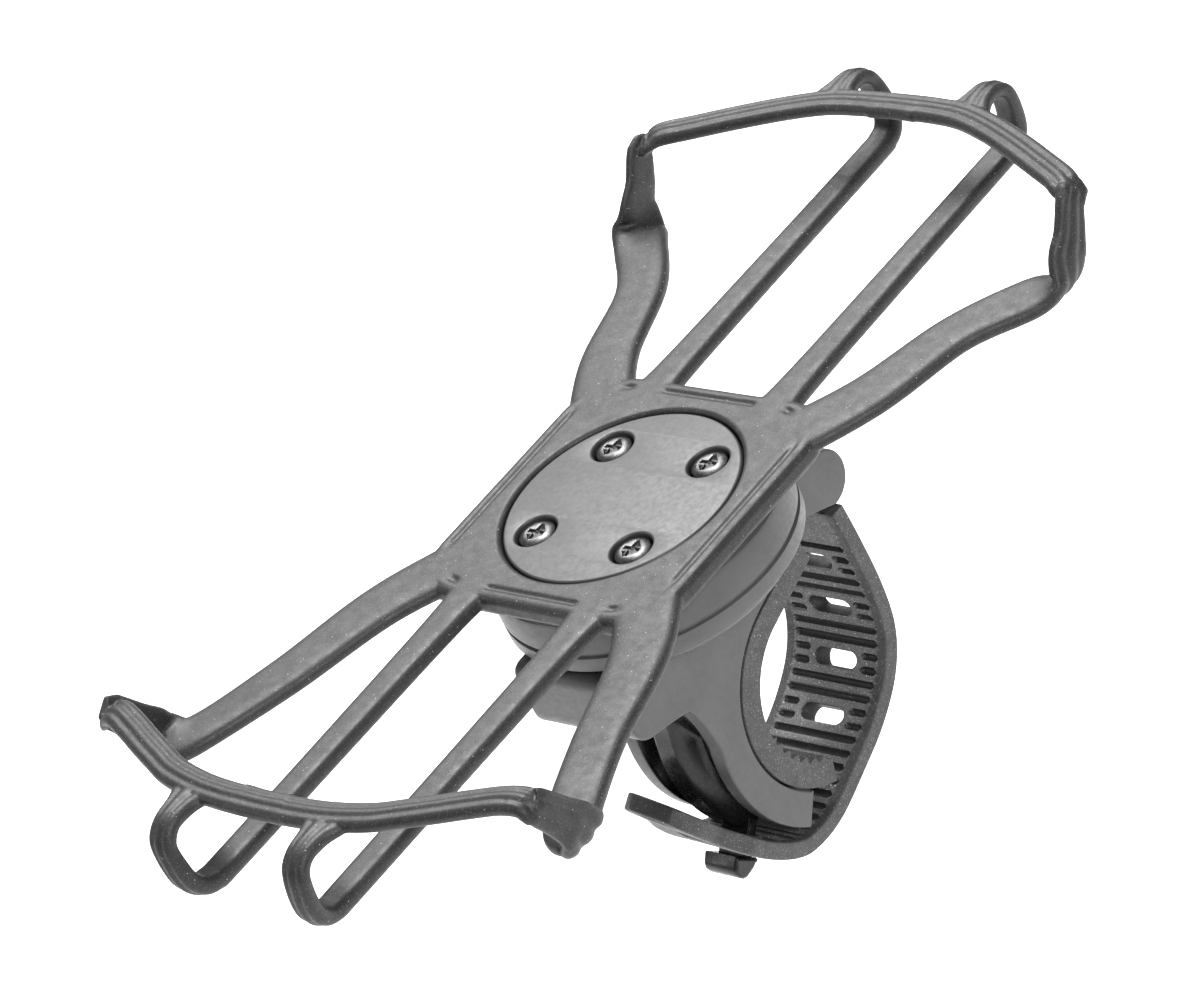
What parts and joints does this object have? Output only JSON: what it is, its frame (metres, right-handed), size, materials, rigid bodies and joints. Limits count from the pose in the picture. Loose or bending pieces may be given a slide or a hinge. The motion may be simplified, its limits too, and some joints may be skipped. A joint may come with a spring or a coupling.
{
  "type": "phone mount",
  "caption": "Handlebar mount that holds a phone in an elastic web on a click-stop turntable, strapped round the bar by a slotted rubber strap and hook.",
  "frame": {"origin": "on the handlebar's axis, at the middle of the saddle's width", "axes": "+X along the handlebar to the rider's right, +Y along the phone towards its top, +Z out of the phone's screen"},
  "size_m": [0.0764, 0.1516, 0.0659],
  "materials": {
    "nylon": "satin moulded nylon",
    "silicone": "matt silicone with a fine grain",
    "rubber": "matt speckled rubber",
    "steel": "plated steel",
    "acetal": "smooth acetal",
    "brass": "machined brass"
  },
  "bodies": {
    "bar_clamp": {"saddle": "nylon", "saddle_liner": "rubber", "strap_pin": "steel", "threaded_insert": "brass", "slip_ring": "acetal", "detent_spring_1": "steel", "detent_spring_2": "steel", "pivot_screw": "steel", "pivot_washer": "steel", "disc_spring": "steel"},
    "strap": {"strap": "rubber"},
    "cradle": {"turntable": "nylon", "clamp_plate": "nylon", "clamp_screw_1": "steel", "clamp_screw_2": "steel", "clamp_screw_3": "steel", "clamp_screw_4": "steel", "silicone_cradle": "silicone"},
    "detent_1": {"detent_ball_1": "steel"},
    "detent_2": {"detent_ball_2": "steel"}
  },
  "joints": [
    {"name": "cradle_spin", "type": "hinge", "parent": "bar_clamp", "child": "cradle", "pos_m": [0, -0.0094, 0.0266], "axis": [0, 0, 1], "continuous": true},
    {"name": "strap_open", "type": "hinge", "parent": "bar_clamp", "child": "strap", "pos_m": [0, 0.0139, 0.0205], "axis": [1, 0, 0], "range_deg": [0, 95], "deforming": ["strap"]},
    {"name": "detent_1_click", "type": "slide", "parent": "bar_clamp", "child": "detent_1", "axis": [0, 0, 1], "range_m": [-0.00035, 0], "stiffness_N_per_m": 800, "springref_m": 0.0008, "deforming": ["detent_spring_1"]},
    {"name": "detent_2_click", "type": "slide", "parent": "bar_clamp", "child": "detent_2", "axis": [0, 0, 1], "range_m": [-0.00035, 0], "stiffness_N_per_m": 800, "springref_m": 0.0008, "deforming": ["detent_spring_2"]}
  ]
}
